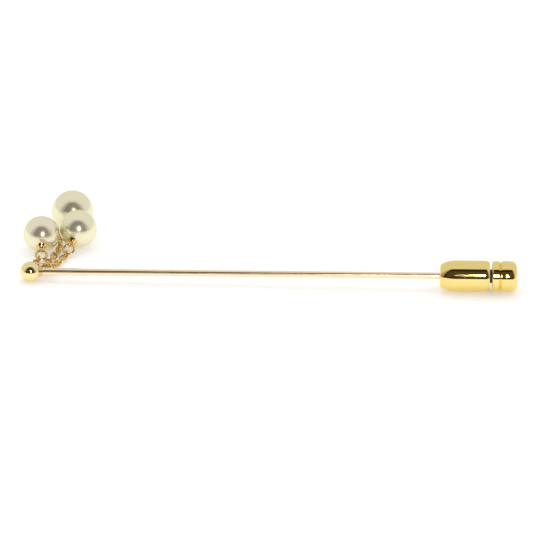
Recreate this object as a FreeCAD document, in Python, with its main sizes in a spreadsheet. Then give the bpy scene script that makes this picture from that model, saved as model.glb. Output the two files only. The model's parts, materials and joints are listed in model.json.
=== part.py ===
import FreeCAD, Part
import math
import os

import Sketcher

# A gold stick pin, 68 mm long: a ball head, an eye behind the head from which three
# pearls hang on short cable chains, and a bullet clutch that grips the pin's point.
# The pin lies on a table as it would when laid down. Its ball and the shoulder of its
# clutch touch z = 0, +X runs from the head to the clutch and +Y from the pin to the
# pearls. The origin is on the table, under the middle of the whole object.

SIZES = {
    # Stick and head. Lengths along the pin are measured from the ball's centre. The
    # stick is a little thinner from grip_taper_end on, where the clutch grips it.
    "head_radius": 1.40,
    "stick_start": 0.20,
    "stick_head_radius": 0.50,
    "stick_radius": 0.45,
    "stick_taper_start": 2.00,
    "stick_taper_end": 18.00,
    "stick_length": 65.20,
    "grip_taper_start": 55.00,
    "grip_taper_end": 55.80,
    "grip_radius": 0.44,
    "point_length": 3.00,
    "point_radius": 0.06,
    "collar_radius": 0.74,
    "collar_inner_edge": 1.308,
    "collar_outer_edge": 1.1885,
    "collar_end": 1.72,
    # Eye behind the neck that carries the three chains
    "hanger_wire": 0.35,
    "hanger_radius": 0.75,
    "hanger_along": 2.15,
    "hanger_behind": 1.30,
    # Chain link: an oval of round wire
    "link_length": 1.65,
    "link_width": 1.05,
    "link_wire": 0.28,
    "link_play": 0.055,
    # Jump ring between the last link and the pearl's cap
    "ring_wire": 0.34,
    "ring_radius": 0.76,
    # Pearl cap: dished disc, peg glued in the pearl, and an eye
    "left_pearl_radius": 2.50,
    "front_pearl_radius": 2.62,
    "rear_pearl_radius": 2.86,
    "cap_radius": 0.80,
    "cap_top_radius": 0.34,
    "cap_sink": 0.16,
    "cap_depth": 0.46,
    "peg_radius": 0.30,
    "peg_depth": 1.60,
    "eye_wire": 0.24,
    "eye_radius": 0.38,
    "eye_height": 0.60,
    # Clutch. Its lengths are measured from its front face.
    "clutch_start": 56.00,
    "nose_radius": 1.25,
    "nose_edge_arc": 0.42,
    "nose_edge_length": 0.30,
    "nose_edge_radius": 1.681,
    "nose_bore_radius": 0.50,
    "ogive_length": 2.05,
    "ogive_arc": 3.50,
    "barrel_radius": 2.15,
    "barrel_length": 6.80,
    "bevel_start": 6.20,
    "bevel_radius": 1.94,
    "bevel_arc": 0.95,
    "cavity_start": 1.45,
    "cavity_radius": 1.80,
    "lip_start": 6.60,
    "lip_radius": 1.65,
    # Tapered seat that wedges the balls against the pin
    "seat_floor": 1.75,
    "seat_end": 3.70,
    "seat_small_radius": 1.213,
    "seat_large_radius": 1.7005,
    # Cage and stem in one turned piece, which the knob pulls back
    "cage_start": 2.05,
    "cage_radius": 1.15,
    "shoulder_start": 3.42,
    "shoulder_end": 3.80,
    "shoulder_radius": 1.45,
    "stem_radius": 0.95,
    "stem_end": 8.60,
    "ball_radius": 0.50,
    "ball_place": 2.80,
    "ball_from_axis": 0.95,
    "ball_hole_radius": 0.52,
    # Return spring between the shoulder and the washer
    "spring_wire_radius": 0.10,
    "spring_radius": 1.30,
    "spring_start": 3.93,
    "spring_pitch": 0.45,
    "spring_coil_height": 2.13,
    "washer_start": 6.20,
    "washer_bore_radius": 1.00,
    # Knob
    "knob_start": 7.10,
    "knob_radius": 2.10,
    "knob_corner": 0.25,
    "rim_end": 8.06,
    "groove_middle": 8.25,
    "groove_radius": 1.90,
    "groove_end": 8.44,
    "crown_arc": 8.00,
    "dome_start": 9.72,
    "dome_arc": 0.881,
    "dome_face_radius": 1.22,
    "knob_end": 10.60,
    "pin_hollow_end": 9.60,
}

BALL_COUNT = 3
CHAIN_ROLL = 18.0    # degrees that the middle links of a lying chain lean over
SETTLING_STEPS = 6   # rounds in which two hooked wires find where they touch
UP = FreeCAD.Vector(0, 0, 1)

# One row for each pearl. hook is where its chain leaves the hanger eye, in degrees
# from +Y. route is the chain's way over the table, from the hanger eye on, as points
# (x from the ball's centre, y behind the pin, z over the table), in mm.
PEARLS = {
    "left": {
        "hook": -47.0,
        "links": 5,
        "route": [(0.97, 2.62, 1.12), (0.55, 3.95, 0.58), (0.66, 5.30, 0.55), (1.55, 7.30, 0.55)],
        "ring_swing": 32.0,
        "towards": (0.02, -0.913, -0.40),
    },
    "front": {
        "hook": 54.0,
        "links": 7,
        "route": [(3.28, 2.75, 1.08), (3.45, 4.40, 0.57), (4.00, 6.00, 0.55), (4.55, 7.50, 0.55),
                  (5.35, 9.60, 0.55)],
        "ring_swing": 5.0,
        "towards": (-0.29, -0.893, -0.345),
    },
    "rear": {
        "hook": 0.0,
        "links": 12,
        "route": [(2.10, 3.35, 1.00), (2.15, 4.80, 0.57), (2.80, 6.70, 0.55), (3.52, 8.80, 0.55),
                  (3.68, 10.80, 0.55), (3.52, 12.80, 0.55), (3.76, 15.00, 0.55)],
        "ring_swing": 0.0,
        "towards": (-0.40, -0.847, -0.350),
    },
}

doc = FreeCAD.newDocument("stick_pin")
sheet = doc.addObject("Spreadsheet::Sheet", "Sizes")
for row, (alias, number) in enumerate(SIZES.items(), 1):
    sheet.set(f"A{row}", alias)
    sheet.set(f"B{row}", str(number))
    sheet.setAlias(f"B{row}", alias)
doc.recompute()

pieces = []


def size(alias):
    return float(sheet.get(alias))


def total(terms):
    """The value of a sum of sheet sizes, such as "knob_end - knob_start"."""
    value, sign = 0.0, 1
    for word in terms.split():
        if word in "+-":
            sign = 1 if word == "+" else -1
        else:
            value += sign * size(word)
    return value


def bound(terms):
    """The same sum as a FreeCAD expression."""
    return " ".join(word if word in "+-" else "Sizes." + word for word in terms.split())


def bind(thing, **properties):
    for name, terms in properties.items():
        thing.setExpression(name, bound(terms))


def keep(thing, label, place):
    """Name a finished sub-part, put it in its place and list it for export."""
    thing.Label = label
    thing.Placement = place
    pieces.append(thing)
    return thing


def new_body(name):
    return doc.addObject("PartDesign::Body", name)


def new_sketch(body, name, role):
    sketch = body.newObject("Sketcher::SketchObject", name)
    plane = next(f for f in body.Origin.OriginFeatures if f.Role == role)
    sketch.AttachmentSupport = [(plane, "")]
    sketch.MapMode = "FlatFace"
    return sketch


def arc_through(start, end, radius, side):
    """The shorter arc between two points, bulging to the left (1) or right (-1)."""
    chord = end - start
    half = chord.Length / 2
    sagitta = radius - math.sqrt(radius**2 - half**2)
    outward = FreeCAD.Vector(-chord.y, chord.x, 0).normalize() * (side * sagitta)
    return Part.Arc(start, (start + end) / 2 + outward, end)


def outline(body, name, corners, bends=None):
    """A closed outline on the XZ plane. corners are (along, from axis) sums of sizes, and
    None is zero. bends gives a side's number its arc radius and the side it bulges to."""
    bends = bends or {}
    sketch = new_sketch(body, name, "XZ_Plane")
    points = [FreeCAD.Vector(total(a) if a else 0, total(b) if b else 0, 0) for a, b in corners]
    ends = []
    for number, start in enumerate(points):
        end = points[(number + 1) % len(points)]
        if number in bends:
            radius, side = bends[number]
            side_index = sketch.addGeometry(arc_through(start, end, total(radius), side))
        else:
            side_index = sketch.addGeometry(Part.LineSegment(start, end))
        forward = (sketch.getPoint(side_index, 1) - start).Length < 1e-6
        ends.append((side_index, 1, 2) if forward else (side_index, 2, 1))
    for number, (side_index, first, last) in enumerate(ends):
        after, after_first, _ = ends[(number + 1) % len(ends)]
        sketch.addConstraint(Sketcher.Constraint("Coincident", side_index, last, after, after_first))
    for number, (along, out) in enumerate(corners):
        side_index, first, _ = ends[number]
        for word, kind, axis, terms in (("along", "DistanceX", -2, along), ("out", "DistanceY", -1, out)):
            if terms is None:
                sketch.addConstraint(Sketcher.Constraint("PointOnObject", side_index, first, axis))
                continue
            index = sketch.addConstraint(
                Sketcher.Constraint(kind, -1, 1, side_index, first, total(terms)))
            sketch.renameConstraint(index, f"{word}_{number}")
            sketch.setExpression(f"Constraints.{word}_{number}", bound(terms))
    for number, (radius, _) in bends.items():
        index = sketch.addConstraint(Sketcher.Constraint("Radius", ends[number][0], total(radius)))
        sketch.renameConstraint(index, f"radius_{number}")
        sketch.setExpression(f"Constraints.radius_{number}", bound(radius))
    return sketch


def turned(name, corners, bends=None):
    """A piece turned about the pin's axis, its local X."""
    body = new_body(name + "_body")
    sketch = outline(body, name + "_outline", corners, bends)
    turning = body.newObject("PartDesign::Revolution", name + "_turning")
    turning.Profile = sketch
    turning.ReferenceAxis = (sketch, ["H_Axis"])
    turning.Angle = 360
    sketch.Visibility = False
    return body


# The pin leans up towards the clutch, because the clutch's shoulder is fatter than the
# ball: both rest on the table.
shoulder_along = total("clutch_start + ogive_length")
reach = math.hypot(shoulder_along, size("barrel_radius"))
lean = math.atan2(size("barrel_radius"), shoulder_along) - math.asin(size("head_radius") / reach)
lean_degrees = math.degrees(lean)

# The whole object's box decides where the origin is. It runs from the ball to the
# knob's end, and from the barrel's front to the back of the rear pearl.
pin_end = total("clutch_start + knob_end") * math.cos(lean)
MIDDLE_ALONG = (pin_end - size("head_radius")) / 2
MIDDLE_ACROSS = 9.18


def on_table(x, y, z):
    """A point measured from the ball's contact with the table, in the part's own frame."""
    return FreeCAD.Vector(x - MIDDLE_ALONG, y - MIDDLE_ACROSS, z)


pin_rotation = FreeCAD.Rotation(FreeCAD.Vector(0, 1, 0), -lean_degrees)
pin_place = FreeCAD.Placement(on_table(0, 0, size("head_radius")), pin_rotation)


def along_pin(distance):
    """The pin's own frame, moved along its axis."""
    return pin_place * FreeCAD.Placement(FreeCAD.Vector(distance, 0, 0), FreeCAD.Rotation())


def make_head():
    ball = doc.addObject("Part::Sphere", "ball_blank")
    bind(ball, Radius="head_radius")
    bore = doc.addObject("Part::Cylinder", "ball_bore")
    bind(bore, Radius="stick_head_radius", Height="head_radius")
    bore.Placement = FreeCAD.Placement(
        FreeCAD.Vector(size("stick_start"), 0, 0), FreeCAD.Rotation(FreeCAD.Vector(0, 1, 0), 90))
    head = doc.addObject("Part::Cut", "head_drilled")
    head.Base = ball
    head.Tool = bore
    keep(head, "head_ball", pin_place)

    stick = turned("stick", [
        ("stick_start", None),
        ("stick_start", "stick_head_radius"),
        ("stick_taper_start", "stick_head_radius"),
        ("stick_taper_end", "stick_radius"),
        ("grip_taper_start", "stick_radius"),
        ("grip_taper_end", "grip_radius"),
        ("stick_length - point_length", "grip_radius"),
        ("stick_length", "point_radius"),
        ("stick_length", None),
    ])
    keep(stick, "pin_stick", pin_place)

    collar = turned("collar", [
        ("collar_inner_edge", "stick_head_radius"),
        ("collar_outer_edge", "collar_radius"),
        ("collar_end", "stick_head_radius"),
    ], {0: ("head_radius", -1)})
    keep(collar, "neck_collar", pin_place)


def make_hanger():
    ring = doc.addObject("Part::Torus", "hanger_ring")
    ring.Radius2 = size("hanger_wire") / 2
    ring.setExpression("Radius1", "Sizes.hanger_radius")
    ring.setExpression("Radius2", "Sizes.hanger_wire / 2")
    ring.Placement = FreeCAD.Placement(
        FreeCAD.Vector(size("hanger_along"), size("hanger_behind"), 0), FreeCAD.Rotation())
    saddle = doc.addObject("Part::Cylinder", "hanger_saddle")
    bind(saddle, Radius="stick_head_radius", Height="hanger_along + hanger_radius")
    saddle.Placement = FreeCAD.Placement(
        FreeCAD.Vector(0, 0, 0), FreeCAD.Rotation(FreeCAD.Vector(0, 1, 0), 90))
    eye = doc.addObject("Part::Cut", "hanger_cut")
    eye.Base = ring
    eye.Tool = saddle
    keep(eye, "hanger_eye", pin_place)


def wire_loop(label, place, length, width, wire):
    """An oval of round wire, long in its local X and flat in its local XY. length, width
    and wire are expressions for its outside length and width and its wire's diameter."""
    body = new_body(label + "_body")
    path = new_sketch(body, label + "_path", "XY_Plane")
    # The oval is drawn at a rough size here, and its two sizes are bound below.
    end_radius = 1.0
    half_run = 0.5
    right = path.addGeometry(Part.ArcOfCircle(
        Part.Circle(FreeCAD.Vector(half_run, 0, 0), FreeCAD.Vector(0, 0, 1), end_radius),
        -math.pi / 2, math.pi / 2))
    top = path.addGeometry(Part.LineSegment(
        FreeCAD.Vector(half_run, end_radius, 0), FreeCAD.Vector(-half_run, end_radius, 0)))
    left = path.addGeometry(Part.ArcOfCircle(
        Part.Circle(FreeCAD.Vector(-half_run, 0, 0), FreeCAD.Vector(0, 0, 1), end_radius),
        math.pi / 2, 3 * math.pi / 2))
    bottom = path.addGeometry(Part.LineSegment(
        FreeCAD.Vector(-half_run, -end_radius, 0), FreeCAD.Vector(half_run, -end_radius, 0)))
    for one, one_end, two, two_end in (
            (right, 2, top, 1), (top, 2, left, 1), (left, 2, bottom, 1), (bottom, 2, right, 1)):
        path.addConstraint(Sketcher.Constraint("Tangent", one, one_end, two, two_end))
    path.addConstraint(Sketcher.Constraint("PointOnObject", right, 3, -1))
    path.addConstraint(Sketcher.Constraint("Symmetric", right, 3, left, 3, -1, 1))
    radius = path.addConstraint(Sketcher.Constraint("Radius", right, end_radius))
    path.renameConstraint(radius, "end_radius")
    path.setExpression("Constraints.end_radius", f"({width} - {wire}) / 2")
    run = path.addConstraint(Sketcher.Constraint("DistanceX", left, 3, right, 3, 2 * half_run))
    path.renameConstraint(run, "run")
    path.setExpression("Constraints.run", f"{length} - {width}")

    section = new_sketch(body, label + "_section", "YZ_Plane")
    circle = section.addGeometry(Part.Circle(
        FreeCAD.Vector(end_radius, 0, 0), FreeCAD.Vector(0, 0, 1), 0.1))
    section.addConstraint(Sketcher.Constraint("PointOnObject", circle, 3, -1))
    reach = section.addConstraint(Sketcher.Constraint("DistanceX", -1, 1, circle, 3, end_radius))
    section.renameConstraint(reach, "reach")
    section.setExpression("Constraints.reach", f"({width} - {wire}) / 2")
    thick = section.addConstraint(Sketcher.Constraint("Diameter", circle, 0.2))
    section.renameConstraint(thick, "thick")
    section.setExpression("Constraints.thick", wire)

    bend = body.newObject("PartDesign::AdditivePipe", label + "_bend")
    bend.Profile = section
    bend.Spine = (path, [])
    return keep(body, label, place)


def make_pearl(side, eye_place):
    """One pearl with the cap glued in it. eye_place has its Z from the pearl to the eye,
    its X through the eye's hole, and its origin at the pearl's centre."""
    radius = f"{side}_pearl_radius"
    disc = doc.addObject("Part::Cone", side + "_cap_blank")
    bind(disc, Radius1="cap_radius", Radius2="cap_top_radius", Height="cap_depth")
    disc.Placement.Base = FreeCAD.Vector(0, 0, total(radius + " - cap_sink"))
    ball = doc.addObject("Part::Sphere", side + "_cap_dish")
    bind(ball, Radius=radius)
    dished = doc.addObject("Part::Cut", side + "_cap_disc")
    dished.Base = disc
    dished.Tool = ball
    peg = doc.addObject("Part::Cylinder", side + "_cap_peg")
    bind(peg, Radius="peg_radius", Height="peg_depth")
    peg.Placement.Base = FreeCAD.Vector(0, 0, total(radius + " - peg_depth"))
    eye = doc.addObject("Part::Torus", side + "_cap_eye")
    eye.setExpression("Radius1", "Sizes.eye_radius")
    eye.setExpression("Radius2", "Sizes.eye_wire / 2")
    eye.Placement = FreeCAD.Placement(
        FreeCAD.Vector(0, 0, total(radius + " + eye_height")),
        FreeCAD.Rotation(FreeCAD.Vector(0, 1, 0), 90))
    cap = doc.addObject("Part::MultiFuse", side + "_cap_fused")
    cap.Shapes = [dished, peg, eye]
    keep(cap, side + "_cap", eye_place)

    solid = doc.addObject("Part::Sphere", side + "_pearl_blank")
    bind(solid, Radius=radius)
    hole = doc.addObject("Part::Cylinder", side + "_pearl_hole")
    bind(hole, Radius="peg_radius", Height="peg_depth")
    hole.Placement.Base = FreeCAD.Vector(0, 0, total(radius + " - peg_depth"))
    drilled = doc.addObject("Part::Cut", side + "_pearl_drilled")
    drilled.Base = solid
    drilled.Tool = hole
    keep(drilled, side + "_pearl", eye_place)


def next_along(curve, parameter, start, distance):
    """The curve's parameter where it is a distance from start, past a parameter."""
    low, high = parameter, curve.LastParameter
    if (curve.value(high) - start).Length < distance:
        raise ValueError("a chain's route is shorter than its links")
    for _ in range(60):
        middle = (low + high) / 2
        if (curve.value(middle) - start).Length < distance:
            low = middle
        else:
            high = middle
    return low


def link_roll(number, count):
    """How far a link is turned about its own length, in degrees from lying flat. Every
    other link stands up. The first and last links hang from a ring, so they stand
    straight, and the ones between lean over, as a chain does on a table."""
    share = (number - 1) / (count - 1)
    lean_over = 90 * share if count % 2 == 0 else CHAIN_ROLL * math.sin(math.pi * share)
    return 90 * (number % 2) + lean_over


def across_link(along, roll):
    """The direction of a link's width, for a link that lies along a direction."""
    level = UP.cross(along).normalize()
    upright = along.cross(level)
    return level * math.cos(math.radians(roll)) + upright * math.sin(math.radians(roll))


def hooked(held, held_across, across, pull, gap):
    """The centre of a wire that hangs inside another. Both wires' tangents are known, and
    the two touch along the line that is square to both."""
    square = held_across.cross(across).normalize()
    if square * pull < 0:
        square = square * -1
    return held - square * gap


def make_links(side, pearl):
    """A chain's links along its route. Returns the wire that the next piece hangs on:
    its centre, its direction and the last link's own direction."""
    hook = math.radians(pearl["hook"])
    outward = FreeCAD.Vector(math.sin(hook), math.cos(hook), 0)
    centre = FreeCAD.Vector(size("hanger_along"), size("hanger_behind"), 0)
    held = pin_place.multVec(centre + outward * size("hanger_radius"))
    held_across = pin_rotation.multVec(FreeCAD.Vector(outward.y, -outward.x, 0))
    held_wire = size("hanger_wire")
    along = outward
    curve = Part.BSplineCurve()
    curve.interpolate([held] + [on_table(*point) for point in pearl["route"]])
    parameter = curve.FirstParameter
    run = total("link_length - link_wire")
    for number in range(1, pearl["links"] + 1):
        gap = (held_wire + size("link_wire")) / 2 + size("link_play")
        near = held - along * gap
        for _ in range(SETTLING_STEPS):
            reached = next_along(curve, parameter, near, run)
            direction = (curve.value(reached) - near).normalize()
            across = across_link(direction, link_roll(number, pearl["links"]))
            near = hooked(held, held_across, across, direction, gap)
        parameter, along = reached, direction
        place = FreeCAD.Placement(
            near + along * (run / 2), FreeCAD.Rotation(along, across, along.cross(across), "XYZ"))
        wire_loop(f"{side}_link_{number:02d}", place,
                  "Sizes.link_length", "Sizes.link_width", "Sizes.link_wire")
        held, held_across, held_wire = near + along * run, across, size("link_wire")
    return held, held_across, along


def make_pendant(side, pearl, held, held_across, along):
    """A jump ring in a chain's last link, and the pearl whose cap hangs on the ring. The
    ring leans on its lower side, by as much as sets the pearl down on the table."""
    swing = math.radians(pearl["ring_swing"])
    gap = (size("link_wire") + size("ring_wire")) / 2 + size("link_play")
    towards = FreeCAD.Vector(*pearl["towards"]).normalize()
    back = FreeCAD.Vector(-towards.x, -towards.y, 0).normalize()
    level = back.cross(UP)
    radius = size("ring_radius")
    eye_slack = size("eye_radius") - (size("eye_wire") + size("ring_wire")) / 2 - size("link_play")
    to_eye = total(f"{side}_pearl_radius + eye_height") + eye_slack
    near = held - along * gap
    for _ in range(SETTLING_STEPS):
        climb = size(f"{side}_pearl_radius") - near.z + towards.z * to_eye
        slope = math.asin(climb / (radius * (1 + math.cos(swing))))
        uphill = back * math.cos(slope) + UP * math.sin(slope)
        inward = level * math.sin(swing) + uphill * math.cos(swing)
        normal = level.cross(uphill)
        near = hooked(held, held_across, normal.cross(inward), along, gap)
    middle = near + inward * radius
    ring = doc.addObject("Part::Torus", side + "_ring_wire")
    ring.setExpression("Radius1", "Sizes.ring_radius")
    ring.setExpression("Radius2", "Sizes.ring_wire / 2")
    keep(ring, side + "_jump_ring", FreeCAD.Placement(
        middle, FreeCAD.Rotation(inward, normal.cross(inward), normal, "XYZ")))
    pearl_middle = middle + uphill * radius - towards * to_eye
    make_pearl(side, FreeCAD.Placement(
        pearl_middle, FreeCAD.Rotation(level, towards.cross(level), towards, "XYZ")))


def make_clutch():
    place = along_pin(size("clutch_start"))
    barrel = turned("barrel", [
        (None, "nose_bore_radius"),
        (None, "nose_radius"),
        ("nose_edge_length", "nose_edge_radius"),
        ("ogive_length", "barrel_radius"),
        ("bevel_start", "barrel_radius"),
        ("barrel_length", "bevel_radius"),
        ("barrel_length", "lip_radius"),
        ("lip_start", "lip_radius"),
        ("lip_start", "cavity_radius"),
        ("cavity_start", "cavity_radius"),
        ("cavity_start", "nose_bore_radius"),
    ], {1: ("nose_edge_arc", 1), 2: ("ogive_arc", 1), 4: ("bevel_arc", 1)})
    keep(barrel, "clutch_barrel", place)
    seat = turned("seat", [
        ("cavity_start", "nose_bore_radius"),
        ("cavity_start", "cavity_radius"),
        ("seat_end", "cavity_radius"),
        ("seat_end", "seat_large_radius"),
        ("seat_floor", "seat_small_radius"),
        ("seat_floor", "nose_bore_radius"),
    ])
    keep(seat, "clutch_taper_seat", place)
    washer = turned("washer", [
        ("washer_start", "washer_bore_radius"),
        ("washer_start", "cavity_radius"),
        ("lip_start", "cavity_radius"),
        ("lip_start", "washer_bore_radius"),
    ])
    keep(washer, "clutch_back_washer", place)


def make_cage():
    place = along_pin(size("clutch_start"))
    cage = turned("cage", [
        ("cage_start", "nose_bore_radius"),
        ("cage_start", "cage_radius"),
        ("shoulder_start", "cage_radius"),
        ("shoulder_start", "shoulder_radius"),
        ("shoulder_end", "shoulder_radius"),
        ("shoulder_end", "stem_radius"),
        ("stem_end", "stem_radius"),
        ("stem_end", "nose_bore_radius"),
    ])
    circle = new_sketch(cage, "ball_hole_circle", "XY_Plane")
    edge = circle.addGeometry(Part.Circle(
        FreeCAD.Vector(size("ball_place"), 0, 0), FreeCAD.Vector(0, 0, 1), size("ball_hole_radius")))
    circle.addConstraint(Sketcher.Constraint("PointOnObject", edge, 3, -1))
    for name, kind, arguments, alias in (
            ("place", "DistanceX", (-1, 1, edge, 3), "ball_place"),
            ("bore", "Radius", (edge,), "ball_hole_radius")):
        index = circle.addConstraint(Sketcher.Constraint(kind, *arguments, size(alias)))
        circle.renameConstraint(index, name)
        circle.setExpression("Constraints." + name, "Sizes." + alias)
    hole = cage.newObject("PartDesign::Pocket", "ball_hole")
    hole.Profile = circle
    bind(hole, Length="shoulder_radius")
    hole.Reversed = True
    doc.recompute()
    holes = cage.newObject("PartDesign::PolarPattern", "ball_holes")
    holes.Originals = [hole]
    holes.Axis = (next(f for f in cage.Origin.OriginFeatures if f.Role == "X_Axis"), [""])
    holes.Angle = 360
    holes.Occurrences = BALL_COUNT
    cage.Tip = holes
    circle.Visibility = False
    keep(cage, "ball_cage", place)
    for number in range(BALL_COUNT):
        ball = doc.addObject("Part::Sphere", f"ball_{number + 1}")
        bind(ball, Radius="ball_radius")
        turn = FreeCAD.Rotation(FreeCAD.Vector(1, 0, 0), 360 * number / BALL_COUNT)
        centre = FreeCAD.Vector(size("ball_place"), 0, 0)
        centre += turn.multVec(FreeCAD.Vector(0, 0, size("ball_from_axis")))
        keep(ball, f"grip_ball_{number + 1}", place * FreeCAD.Placement(centre, turn))


def make_spring():
    body = new_body("spring_body")
    section = new_sketch(body, "spring_section", "XZ_Plane")
    edge = section.addGeometry(Part.Circle(
        FreeCAD.Vector(size("spring_start"), size("spring_radius"), 0),
        FreeCAD.Vector(0, 0, 1), size("spring_wire_radius")))
    for name, kind, arguments, alias in (
            ("start", "DistanceX", (-1, 1, edge, 3), "spring_start"),
            ("reach", "DistanceY", (-1, 1, edge, 3), "spring_radius"),
            ("wire", "Radius", (edge,), "spring_wire_radius")):
        index = section.addConstraint(Sketcher.Constraint(kind, *arguments, size(alias)))
        section.renameConstraint(index, name)
        section.setExpression("Constraints." + name, "Sizes." + alias)
    coil = body.newObject("PartDesign::AdditiveHelix", "spring_coil")
    coil.Profile = section
    coil.ReferenceAxis = (section, ["H_Axis"])
    coil.Mode = "pitch-height-angle"
    bind(coil, Pitch="spring_pitch", Height="spring_coil_height")
    keep(body, "return_spring", along_pin(size("clutch_start")))


def make_knob():
    knob = turned("knob", [
        ("knob_start", "stem_radius"),
        ("knob_start", "knob_radius - knob_corner"),
        ("knob_start + knob_corner", "knob_radius"),
        ("rim_end", "knob_radius"),
        ("groove_middle", "groove_radius"),
        ("groove_end", "knob_radius"),
        ("dome_start", "knob_radius"),
        ("knob_end", "dome_face_radius"),
        ("knob_end", None),
        ("pin_hollow_end", None),
        ("pin_hollow_end", "nose_bore_radius"),
        ("stem_end", "nose_bore_radius"),
        ("stem_end", "stem_radius"),
    ], {1: ("knob_corner", 1), 5: ("crown_arc", 1), 6: ("dome_arc", 1)})
    keep(knob, "clutch_knob", along_pin(size("clutch_start")))


make_head()
make_hanger()
for side, pearl in PEARLS.items():
    make_pendant(side, pearl, *make_links(side, pearl))
make_clutch()
make_cage()
make_spring()
make_knob()
doc.recompute()

for thing in doc.Objects:
    if "Invalid" in thing.State or "Error" in thing.State:
        raise RuntimeError(f"{thing.Name} failed: {thing.State}")
for piece in pieces:
    if piece.Shape.isNull() or not piece.Shape.isValid():
        raise RuntimeError(f"{piece.Label} has no valid shape")

os.makedirs("parts", exist_ok=True)
whole = FreeCAD.BoundBox()
for piece in pieces:
    piece.Shape.exportStep(f"parts/{piece.Label}.step")
    whole.add(piece.Shape.optimalBoundingBox())
    print(piece.Label, round(piece.Shape.Volume, 4), len(piece.Shape.Solids))
print(len(pieces), "pieces", whole)
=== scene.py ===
"""Pearl stick pin: a gold pin with a ball head, three pearls on fine cable chains, and a bullet clutch.

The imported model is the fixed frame. Each section finishes one group of pieces in the order in which
a goldsmith puts the pin together, and the last one lays it on a white table in a light tent.
"""

import json
import math

import bpy
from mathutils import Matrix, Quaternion, Vector


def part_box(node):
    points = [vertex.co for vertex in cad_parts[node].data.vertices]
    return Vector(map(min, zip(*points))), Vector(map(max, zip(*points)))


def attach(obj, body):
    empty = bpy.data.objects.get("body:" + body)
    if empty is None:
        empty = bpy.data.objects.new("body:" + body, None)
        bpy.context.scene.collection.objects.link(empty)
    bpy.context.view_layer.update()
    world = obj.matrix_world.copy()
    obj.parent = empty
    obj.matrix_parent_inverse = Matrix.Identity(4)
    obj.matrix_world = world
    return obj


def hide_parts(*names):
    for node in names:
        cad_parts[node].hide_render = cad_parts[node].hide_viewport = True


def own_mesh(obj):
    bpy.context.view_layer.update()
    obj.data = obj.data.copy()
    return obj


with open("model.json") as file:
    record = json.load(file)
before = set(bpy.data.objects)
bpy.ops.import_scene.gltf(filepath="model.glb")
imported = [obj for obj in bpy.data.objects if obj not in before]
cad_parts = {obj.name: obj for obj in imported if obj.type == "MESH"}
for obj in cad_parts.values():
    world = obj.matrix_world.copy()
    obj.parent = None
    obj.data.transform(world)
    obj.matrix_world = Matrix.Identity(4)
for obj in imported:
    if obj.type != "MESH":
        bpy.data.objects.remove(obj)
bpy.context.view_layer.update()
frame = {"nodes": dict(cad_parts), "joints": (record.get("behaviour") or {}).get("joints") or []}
nodes = frame["nodes"]
joints = {joint["name"]: joint for joint in frame["joints"]}
bpy.ops.object.select_all(action="DESELECT")


# ---- The pin ---------------------------------------------------------------------------------------
# Drawn yellow gold wire, ground to a point at one end. The ball head is drilled and soldered on, with
# a small flare of solder behind it, and the eye for the chains is a wire ring soldered to the neck.

MM = 0.001
BALL_GOLD = (1.0, 0.83, 0.43, 1.0)
PALE_GOLD = (1.0, 0.83, 0.56, 1.0)
# The collar at the neck is coloured a darker gold than the ball.
NECK_DARK_GOLD = (0.80, 0.60, 0.28, 1.0)
pin_direction = Vector(joints["clutch_slide"]["axis"])
pin_lean = math.asin(pin_direction.z)


def new_group(name, inputs, outputs):
    """An empty node group. Inputs are (name, kind, value), outputs are (name, kind)."""
    group = bpy.data.node_groups.new(name, "ShaderNodeTree")
    for label, kind, value in inputs:
        socket = group.interface.new_socket(name=label, in_out="INPUT", socket_type=f"NodeSocket{kind}")
        socket.default_value = value
    for label, kind in outputs:
        group.interface.new_socket(name=label, in_out="OUTPUT", socket_type=f"NodeSocket{kind}")
    start = group.nodes.new("NodeGroupInput")
    end = group.nodes.new("NodeGroupOutput")
    return group, start, end


def maths(tree, operation, first, second):
    """A maths node between two sockets or numbers. Returns its value."""
    node = tree.nodes.new("ShaderNodeMath")
    node.operation = operation
    for socket, value in zip(node.inputs, (first, second)):
        if isinstance(value, float):
            socket.default_value = value
        else:
            tree.links.new(value, socket)
    return node.outputs[0]


def cloud(tree, vector, per_metre, detail):
    """Soft noise with a given number of blotches in a metre, as a number or a socket. Returns its
    value, about 0.5 on average."""
    node = tree.nodes.new("ShaderNodeTexNoise")
    node.inputs["Detail"].default_value = detail
    tree.links.new(vector, node.inputs["Vector"])
    if isinstance(per_metre, float):
        node.inputs["Scale"].default_value = per_metre
    else:
        tree.links.new(per_metre, node.inputs["Scale"])
    return node.outputs["Fac"]


PATCHES_PER_METRE = 420.0
SWELLS_PER_METRE = 260.0
HAIRS_PER_METRE = 9000.0
HAIR_SHARE = 0.08


def make_polish_group():
    """Buffed metal: slightly duller patches where it has been handled, and hairline marks."""
    group, start, end = new_group(
        "buffed_metal",
        [("Vector", "Vector", (0, 0, 0)), ("Gloss", "Float", 0.08), ("Wear", "Float", 0.05),
         ("Marks", "Float", 1.0)],
        [("Roughness", "Float"), ("Height", "Float")],
    )
    vector = start.outputs["Vector"]
    patches = cloud(group, vector, PATCHES_PER_METRE, detail=3.0)
    worn = maths(group, "MULTIPLY", patches, start.outputs["Wear"])
    group.links.new(maths(group, "ADD", worn, start.outputs["Gloss"]), end.inputs["Roughness"])
    swells = cloud(group, vector, SWELLS_PER_METRE, detail=1.0)
    hairs = cloud(group, vector, HAIRS_PER_METRE, detail=2.0)
    hairs = maths(group, "MULTIPLY", hairs, HAIR_SHARE)
    fine = maths(group, "MULTIPLY", hairs, start.outputs["Marks"])
    group.links.new(maths(group, "ADD", swells, fine), end.inputs["Height"])
    return group


RING_EVENNESS = 0.02    # how little a turning line changes round the pin


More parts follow.
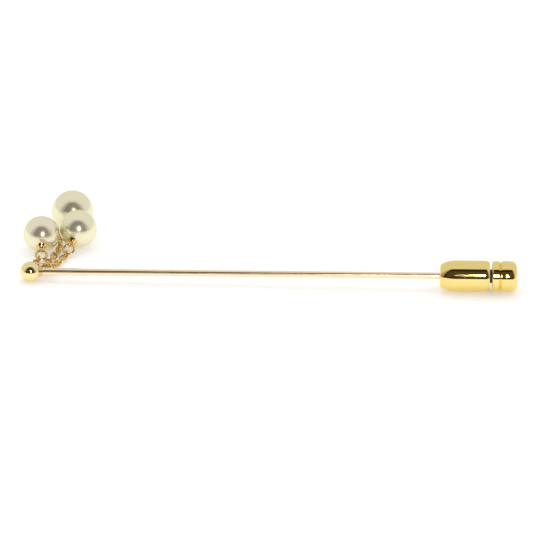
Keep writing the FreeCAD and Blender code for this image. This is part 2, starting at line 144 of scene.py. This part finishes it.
def make_turning_group():
    """Fine rings left by a lathe tool or a drawing plate: noise that changes along X only."""
    group, start, end = new_group(
        "turning_lines",
        [("Vector", "Vector", (0, 0, 0)), ("Rings", "Float", 9000.0)],
        [("Height", "Float")],
    )
    flat = group.nodes.new("ShaderNodeVectorMath")
    flat.operation = "MULTIPLY"
    flat.inputs[1].default_value = (1.0, RING_EVENNESS, RING_EVENNESS)
    group.links.new(start.outputs["Vector"], flat.inputs[0])
    lines = cloud(group, flat.outputs[0], start.outputs["Rings"], detail=2.0)
    group.links.new(lines, end.inputs["Height"])
    return group


buffed_metal = make_polish_group()
turning_lines = make_turning_group()


def new_material(name):
    """A material with its shader, and Object coordinates turned so that X runs along the pin."""
    material = bpy.data.materials.new(name)
    material.use_nodes = True
    tree = material.node_tree
    shader = tree.nodes["Principled BSDF"]
    place = tree.nodes.new("ShaderNodeTexCoord")
    along = tree.nodes.new("ShaderNodeMapping")
    along.inputs["Rotation"].default_value = (0, pin_lean, 0)
    tree.links.new(place.outputs["Object"], along.inputs["Vector"])
    return material, tree, shader, along.outputs["Vector"]


def bump(tree, shader, height, distance, strength):
    """Raises the surface by a height socket, in metres at full height."""
    node = tree.nodes.new("ShaderNodeBump")
    node.inputs["Distance"].default_value = distance
    node.inputs["Strength"].default_value = strength
    tree.links.new(height, node.inputs["Height"])
    tree.links.new(node.outputs["Normal"], shader.inputs["Normal"])


POLISH_RELIEF = 0.004 * MM


def make_metal(name, colour, gloss, wear, marks=1.0, rings=0.0, ring_depth=0.0, depth=0.3):
    """Polished metal. Gloss is its roughness where it is cleanest, and wear is added in the duller
    patches. Rings is how many turning lines there are in a metre along the pin, and depth is how
    much of the relief shows."""
    material, tree, shader, vector = new_material(name)
    shader.inputs["Base Color"].default_value = colour
    shader.inputs["Metallic"].default_value = 1.0
    polish = tree.nodes.new("ShaderNodeGroup")
    polish.node_tree = buffed_metal
    polish.inputs["Gloss"].default_value = gloss
    polish.inputs["Wear"].default_value = wear
    polish.inputs["Marks"].default_value = marks
    tree.links.new(vector, polish.inputs["Vector"])
    tree.links.new(polish.outputs["Roughness"], shader.inputs["Roughness"])
    height = polish.outputs["Height"]
    if rings:
        turned = tree.nodes.new("ShaderNodeGroup")
        turned.node_tree = turning_lines
        turned.inputs["Rings"].default_value = rings
        tree.links.new(vector, turned.inputs["Vector"])
        turning = maths(tree, "MULTIPLY", turned.outputs["Height"], ring_depth)
        height = maths(tree, "ADD", height, turning)
    bump(tree, shader, height, distance=POLISH_RELIEF, strength=depth)
    return material


def finish_node(name, material):
    """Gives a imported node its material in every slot."""
    slots = nodes[name].data.materials
    slots.clear()
    slots.append(material)


drawn_gold = make_metal("drawn_gold", PALE_GOLD, gloss=0.12, wear=0.06, rings=2500.0, ring_depth=0.1)
ball_gold = make_metal("ball_gold", BALL_GOLD, gloss=0.07, wear=0.05)
neck_dark_gold = make_metal("neck_dark_gold", NECK_DARK_GOLD, gloss=0.14, wear=0.10, marks=2.0)

finish_node("pin_stick", drawn_gold)
finish_node("head_ball", ball_gold)
finish_node("neck_collar", neck_dark_gold)
finish_node("hanger_eye", drawn_gold)


# ---- The chains ------------------------------------------------------------------------------------
# Soldered oval links of fine gold wire, tumbled bright, and a heavier jump ring at the end of each
# chain. Every link hangs in the one before it and moves with its own body.

SIDES = ("left", "front", "rear")
CHAIN_GOLD = (0.80, 0.58, 0.24, 1.0)
RING_GOLD = (0.82, 0.60, 0.26, 1.0)
chain_gold = make_metal("chain_gold", CHAIN_GOLD, gloss=0.05, wear=0.05)
ring_gold = make_metal("ring_gold", RING_GOLD, gloss=0.05, wear=0.05)

for name in nodes:
    if "_link_" in name:
        finish_node(name, chain_gold)
for side in SIDES:
    finish_node(f"{side}_jump_ring", ring_gold)


# ---- The pearls ------------------------------------------------------------------------------------
# Round cultured pearls, cream with a rose body and a greenish rim, half-drilled. A dished gold cap
# with a peg is glued into each, and its eye hangs in the jump ring.

NACRE_CREAM = (0.93, 0.94, 0.62, 1.0)
NACRE_ROSE = (0.97, 0.82, 0.69, 1.0)
RIM_GREEN = (0.84, 0.88, 0.55, 1.0)
DRIFT_PER_METRE = 240.0
SILK_PER_METRE = 900.0
RIPPLES_PER_METRE = 1500.0
SILK_SHARE = 0.08
NACRE_ROUGHNESS = 0.22
NACRE_RELIEF = 0.004 * MM


def make_nacre():
    """Nacre: half mirror, half milk. Its layers tint the glancing light, and its colour drifts
    slightly."""
    material, tree, shader, vector = new_material("nacre")
    drift = cloud(tree, vector, DRIFT_PER_METRE, detail=2.0)
    body_colour = tree.nodes.new("ShaderNodeMix")
    body_colour.data_type = "RGBA"
    body_colour.inputs["A"].default_value = NACRE_CREAM
    body_colour.inputs["B"].default_value = NACRE_ROSE
    tree.links.new(drift, body_colour.inputs["Factor"])
    tree.links.new(body_colour.outputs["Result"], shader.inputs["Base Color"])
    silk = maths(tree, "MULTIPLY", cloud(tree, vector, SILK_PER_METRE, detail=2.0), SILK_SHARE)
    roughness = maths(tree, "ADD", silk, NACRE_ROUGHNESS)
    tree.links.new(roughness, shader.inputs["Roughness"])
    shader.inputs["Metallic"].default_value = 0.78
    shader.inputs["Specular Tint"].default_value = RIM_GREEN
    shader.inputs["Sheen Weight"].default_value = 0.15
    shader.inputs["Sheen Roughness"].default_value = 0.4
    shader.inputs["Sheen Tint"].default_value = RIM_GREEN
    shader.inputs["Coat Weight"].default_value = 0.4
    shader.inputs["Coat Roughness"].default_value = 0.06
    shader.inputs["Coat IOR"].default_value = 1.6
    ripples = cloud(tree, vector, RIPPLES_PER_METRE, detail=3.0)
    bump(tree, shader, ripples, distance=NACRE_RELIEF, strength=0.5)
    return material


nacre = make_nacre()
cap_gold = make_metal("cap_gold", RING_GOLD, gloss=0.06, wear=0.06, marks=1.5)

for side in SIDES:
    finish_node(f"{side}_cap", cap_gold)
    finish_node(f"{side}_pearl", nacre)


# ---- The clutch ------------------------------------------------------------------------------------
# A turned gold shell with a hardened taper in its nose. A spring behind the cage pushes three balls
# into the taper, where they lock on the pin, and the grooved knob on the cage's stem frees them.

TURNED_GOLD = (0.97, 0.76, 0.28, 1.0)
BRASS = (0.86, 0.66, 0.30, 1.0)
BRIGHT_STEEL = (0.56, 0.56, 0.58, 1.0)
# The cage and its stem are coloured near black: a painted shade for the dark gap between the barrel and
# the knob.
SHADE_BLACK_STEEL = (0.055, 0.045, 0.035, 1.0)
WIRE_STEEL = (0.50, 0.50, 0.53, 1.0)
barrel_gold = make_metal("barrel_gold", TURNED_GOLD, gloss=0.025, wear=0.02,
                         rings=1400.0, ring_depth=0.5, depth=0.15)
knob_gold = make_metal("knob_gold", TURNED_GOLD, gloss=0.03, wear=0.02,
                       rings=2200.0, ring_depth=0.5, depth=0.15)
turned_brass = make_metal("turned_brass", BRASS, gloss=0.2, wear=0.1, rings=5000.0, ring_depth=1.0)
hardened_steel = make_metal("hardened_steel", BRIGHT_STEEL, gloss=0.14, wear=0.08)
shade_black_steel = make_metal("shade_black_steel", SHADE_BLACK_STEEL, gloss=0.3, wear=0.1)
spring_wire = make_metal("spring_wire", WIRE_STEEL, gloss=0.22, wear=0.1)

finish_node("clutch_barrel", barrel_gold)
finish_node("clutch_knob", knob_gold)
finish_node("clutch_back_washer", turned_brass)
# Painted shade: the cage is near black, so its stem reads as the shadowed gap behind the knob.
finish_node("ball_cage", shade_black_steel)
finish_node("clutch_taper_seat", hardened_steel)
finish_node("return_spring", spring_wire)

# The spring is a copy of the imported coil with its triangles joined. In the real clutch it is squeezed
# against the washer as the knob is pulled.
COIL_CREASE = math.radians(40.0)
SAME_POINT = 0.001 * MM
spring = bpy.data.objects.new("closing_spring", nodes["return_spring"].data.copy())
bpy.context.scene.collection.objects.link(spring)
spring.select_set(True)
bpy.context.view_layer.objects.active = spring
bpy.ops.object.mode_set(mode="EDIT")
bpy.ops.mesh.select_all(action="SELECT")
bpy.ops.mesh.remove_doubles(threshold=SAME_POINT)
bpy.ops.object.mode_set(mode="OBJECT")
bpy.ops.object.shade_smooth_by_angle(angle=COIL_CREASE)
spring.select_set(False)
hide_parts("return_spring")
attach(spring, "clutch")
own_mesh(spring)

for name in nodes:
    if name.startswith("grip_ball"):
        finish_node(name, hardened_steel)


# ---- The table and the light -----------------------------------------------------------------------
# A white acrylic table that glows softly from below, in a pale tent. The room in front of the tent is
# dark, so polished gold mirrors a dark band with bright white under it, and a small lamp's glint in it.

WHITE = (1.0, 1.0, 1.0)
BLACK = (0.0, 0.0, 0.0)
ACRYLIC = (0.85, 0.85, 0.85)
TABLE_SIZE = 6.0
TABLE_GLOW = 0.30
TENT_BRIGHTNESS = 0.76
VIEW_HEIGHT = math.radians(24.0)


def toward_viewer(distance, turn, height):
    """A step of some length towards the viewer, turned to the right and raised by two angles."""
    level = distance * math.cos(height)
    return Vector((level * math.sin(turn), -level * math.cos(turn), distance * math.sin(height)))


def stage_surface(name, corners, colour, glow, glow_colour=WHITE):
    """A flat four-sided surface that belongs to the studio and not to the pin."""
    mesh = bpy.data.meshes.new(name)
    mesh.from_pydata(corners, [], [range(len(corners))])
    surface = bpy.data.objects.new(name, mesh)
    bpy.context.scene.collection.objects.link(surface)
    material = bpy.data.materials.new(name)
    material.use_nodes = True
    shader = material.node_tree.nodes["Principled BSDF"]
    shader.inputs["Base Color"].default_value = (*colour, 1.0)
    shader.inputs["Roughness"].default_value = 0.7
    shader.inputs["Specular IOR Level"].default_value = 0.2
    shader.inputs["Emission Color"].default_value = (*glow_colour, 1.0)
    shader.inputs["Emission Strength"].default_value = glow
    mesh.materials.append(material)
    return surface


def light_the_tent():
    """An even pale tent all round. The camera sees it as plain white."""
    world = bpy.data.worlds.new("tent")
    world.use_nodes = True
    tree = world.node_tree
    background = tree.nodes["Background"]
    background.inputs["Strength"].default_value = 1.0
    seen = tree.nodes.new("ShaderNodeLightPath")
    choice = tree.nodes.new("ShaderNodeMix")
    choice.data_type = "RGBA"
    choice.inputs["A"].default_value = (TENT_BRIGHTNESS, TENT_BRIGHTNESS, TENT_BRIGHTNESS, 1.0)
    choice.inputs["B"].default_value = (*WHITE, 1.0)
    tree.links.new(seen.outputs["Is Camera Ray"], choice.inputs["Factor"])
    tree.links.new(choice.outputs["Result"], background.inputs["Color"])
    bpy.context.scene.world = world


def add_lamp(name, place, size, power, in_mirrors):
    """A rectangular lamp that looks at the origin. It either shows in mirrors or lights matt
    surfaces, and never both."""
    light = bpy.data.lights.new(name, "AREA")
    light.shape = "RECTANGLE"
    light.size, light.size_y = size
    light.energy = power
    lamp = bpy.data.objects.new(name, light)
    bpy.context.scene.collection.objects.link(lamp)
    lamp.location = place
    lamp.rotation_euler = (-place).to_track_quat("-Z", "Y").to_euler()
    lamp.visible_camera = False
    lamp.visible_glossy = in_mirrors
    lamp.visible_diffuse = not in_mirrors


half_table = TABLE_SIZE / 2
table_corners = [(-half_table, -half_table, 0), (half_table, -half_table, 0),
                 (half_table, half_table, 0), (-half_table, half_table, 0)]
stage_surface("table", table_corners, ACRYLIC, TABLE_GLOW)

ROOM_DISTANCE = 0.600
WALL_STEP = 0.01    # between one wall and the next
PALE_ROSE = (1.0, 0.85, 0.78)
DARK_AMBER = (1.0, 0.55, 0.15)
DIM_AMBER = (1.0, 0.72, 0.40)


def add_wall(name, distance, low, high, half, half_at_top, glow, glow_colour):
    """An upright panel in front of the pin, which shows in mirrors only. Its edges are in degrees,
    as seen from the pin."""
    low_edge, high_edge, wide, narrow = (
        distance * math.tan(math.radians(angle)) for angle in (low, high, half, half_at_top))
    corners = [(-wide, -distance, low_edge), (wide, -distance, low_edge),
               (narrow, -distance, high_edge), (-narrow, -distance, high_edge)]
    panel = stage_surface(name, corners, BLACK, glow, glow_colour)
    panel.visible_camera = False
    panel.visible_diffuse = False
    panel.visible_shadow = False


add_wall("pale_wall", ROOM_DISTANCE + WALL_STEP, low=1.0, high=76.0, half=74.0, half_at_top=60.0,
         glow=0.40, glow_colour=PALE_ROSE)
add_wall("dark_room", ROOM_DISTANCE, low=3.4, high=73.5, half=54.0, half_at_top=44.0,
         glow=0.006, glow_colour=DARK_AMBER)
add_wall("dim_wall", ROOM_DISTANCE - WALL_STEP, low=14.0, high=56.0, half=42.0, half_at_top=38.0,
         glow=0.07, glow_colour=DIM_AMBER)
light_the_tent()

OVERHEAD_PLACE = Vector((0.0, 0.10, 0.70))
OVERHEAD_SIZE = (0.6, 0.6)
GLINT_DISTANCE = 0.56
GLINT_TURN = math.radians(6.25)
GLINT_SIZE = (0.035, 0.17)
glint_place = toward_viewer(GLINT_DISTANCE, GLINT_TURN, VIEW_HEIGHT)
add_lamp("overhead", OVERHEAD_PLACE, OVERHEAD_SIZE, power=0.9, in_mirrors=False)
add_lamp("glint", glint_place, GLINT_SIZE, power=0.50, in_mirrors=True)

# The camera looks down at the middle of the pin, and is rolled by about a degree.
VIEW_DISTANCE = 1.2
VIEW_WIDTH = 73.8 * MM
VIEW_ROLL = math.radians(1.26)
LOOK_RIGHT = 0.157 * MM
LOOK_UP = 0.546 * MM
SENSOR_WIDTH = 36.0
ball_low, ball_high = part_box("head_ball")
knob_low, knob_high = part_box("clutch_knob")
pin_middle = (ball_low + ball_high + knob_low + knob_high) / 4
pin_middle.x = (ball_low.x + knob_high.x) / 2
camera_data = bpy.data.cameras.new("camera")
camera_data.sensor_width = SENSOR_WIDTH
camera_data.lens = SENSOR_WIDTH * VIEW_DISTANCE / VIEW_WIDTH
camera_data.clip_start = 0.01
camera_data.clip_end = 20.0
camera = bpy.data.objects.new("camera", camera_data)
bpy.context.scene.collection.objects.link(camera)
view_up = Vector((0.0, math.sin(VIEW_HEIGHT), math.cos(VIEW_HEIGHT)))
look_at = pin_middle + Vector((LOOK_RIGHT, 0, 0)) + view_up * LOOK_UP
camera.location = look_at + toward_viewer(VIEW_DISTANCE, 0.0, VIEW_HEIGHT)
aim = (look_at - camera.location).to_track_quat("-Z", "Y")
camera.rotation_euler = (aim @ Quaternion((0, 0, 1), VIEW_ROLL)).to_euler()
bpy.context.scene.camera = camera
bpy.context.scene.view_settings.view_transform = "Standard"
